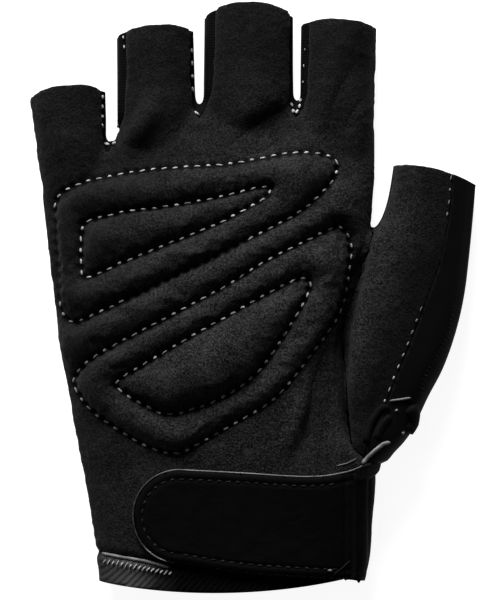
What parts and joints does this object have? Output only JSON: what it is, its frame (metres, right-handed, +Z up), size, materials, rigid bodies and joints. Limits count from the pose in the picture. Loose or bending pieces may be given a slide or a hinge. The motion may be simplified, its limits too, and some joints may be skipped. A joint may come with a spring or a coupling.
{
  "type": "cycling glove",
  "caption": "Half-finger cycling glove for the right hand, lying palm up, with padded suede palm, open stalls and a wrist strap fastened over the cuff.",
  "frame": {"origin": "on the surface, under the middle of the glove's bounding box", "axes": "+Y from the cuff to the finger stalls, +X to the thumb, +Z up from the surface out of the palm"},
  "size_m": [0.129, 0.1706, 0.0261],
  "materials": {
    "suede": "napped charcoal suede",
    "knit": "black ribbed knit",
    "stretch_fabric": "smooth black stretch fabric",
    "strap": "black laminated strap with a faint sheen",
    "thread": "grey sewing thread"
  },
  "bodies": {
    "root": {"palm_panel": "suede", "upper_pad_rim": "suede", "upper_pad_core": "suede", "lower_pad_rim": "suede", "lower_pad_core": "suede", "thumb_panel": "suede", "thumb_side_panel": "stretch_fabric", "back_panel": "knit", "fourchette_little_ring": "knit", "fourchette_ring_middle": "knit", "fourchette_middle_index": "knit", "cuff_band": "stretch_fabric", "wrist_strap": "strap"}
  },
  "joints": []
}
